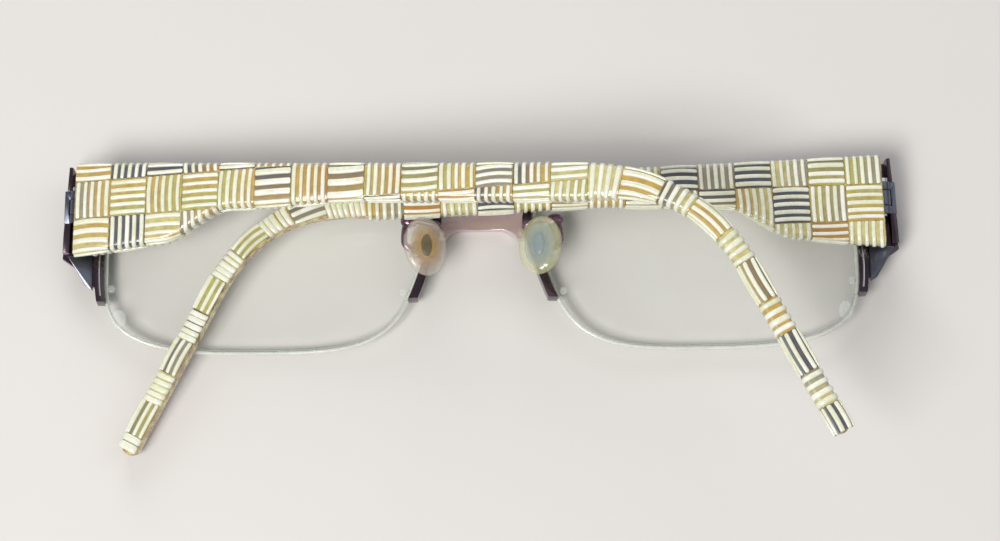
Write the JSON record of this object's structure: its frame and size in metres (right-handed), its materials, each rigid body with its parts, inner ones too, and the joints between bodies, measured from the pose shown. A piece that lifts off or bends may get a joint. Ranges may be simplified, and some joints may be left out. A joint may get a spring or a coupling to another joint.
{
  "type": "folding reading glasses",
  "caption": "Half-rim reading glasses with a bowed bridge, rocking nose pads and broad temples that taper to curved ear pieces, folded flat.",
  "frame": {"origin": "middle of the flat on the front of the bridge, which rests on the table", "axes": "+X to the wearer's right, +Y towards the brow, +Z towards the wearer"},
  "size_m": [0.1344, 0.0516, 0.031],
  "materials": {
    "bridge_metal": "glossy mauve lacquer over metal",
    "frame_metal": "glossy dark plum plating",
    "hinge_steel": "satin blue-grey steel",
    "core_steel": "bright steel, covered",
    "pad_metal": "bright plated metal",
    "lens": "clear lens with a faint green reflection",
    "nylon": "translucent white nylon",
    "temple_covering": "lacquered basket-weave relief, cream ribs over ochre and slate",
    "pad_plastic": "clear soft plastic, yellowed",
    "pad_insert": "dark insert seen through the pad"
  },
  "bodies": {
    "front": {"bridge": "bridge_metal", "half_rim_left": "frame_metal", "half_rim_right": "frame_metal", "rim_liner_left": "nylon", "rim_liner_right": "nylon", "lens_left": "lens", "lens_right": "lens", "nylon_cord_left": "nylon", "nylon_cord_right": "nylon", "cord_anchors_left": "nylon", "cord_anchors_right": "nylon", "endpiece_left": "frame_metal", "endpiece_right": "frame_metal", "hinge_front_leaf_left": "hinge_steel", "hinge_front_leaf_right": "hinge_steel", "hinge_screw_left": "hinge_steel", "hinge_screw_right": "hinge_steel", "pad_arm_left": "frame_metal", "pad_arm_right": "frame_metal", "pad_box_left": "pad_metal", "pad_box_right": "pad_metal", "pad_screw_left": "pad_metal", "pad_screw_right": "pad_metal"},
    "left_temple": {"hinge_temple_leaf_left": "hinge_steel", "temple_core_left": "core_steel", "temple_covering_left": "temple_covering"},
    "right_temple": {"hinge_temple_leaf_right": "hinge_steel", "temple_core_right": "core_steel", "temple_covering_right": "temple_covering"},
    "left_pad": {"nose_pad_left": "pad_plastic", "pad_insert_left": "pad_insert"},
    "right_pad": {"nose_pad_right": "pad_plastic", "pad_insert_right": "pad_insert"}
  },
  "joints": [
    {"name": "left_temple_hinge", "type": "hinge", "parent": "front", "child": "left_temple", "pos_m": [-0.0645, 0, 0.007], "axis": [-0.0447, -0.9853, -0.165], "range_deg": [0, 80]},
    {"name": "right_temple_hinge", "type": "hinge", "parent": "front", "child": "right_temple", "pos_m": [0.0645, 0, 0.007], "axis": [-0.0447, 0.9853, 0.165], "range_deg": [0, 92]},
    {"name": "left_pad_rock", "type": "hinge", "parent": "front", "child": "left_pad", "pos_m": [-0.0098, -0.0076, 0.0069], "axis": [0.9272, 0, -0.3746], "range_deg": [-8, 8]},
    {"name": "right_pad_rock", "type": "hinge", "parent": "front", "child": "right_pad", "pos_m": [0.0098, -0.0076, 0.0069], "axis": [0.9272, 0, 0.3746], "range_deg": [-8, 8]}
  ],
  "couplings": [
    {"joint": "right_temple_hinge", "follows": "left_temple_hinge", "ratio": 0.36}
  ]
}
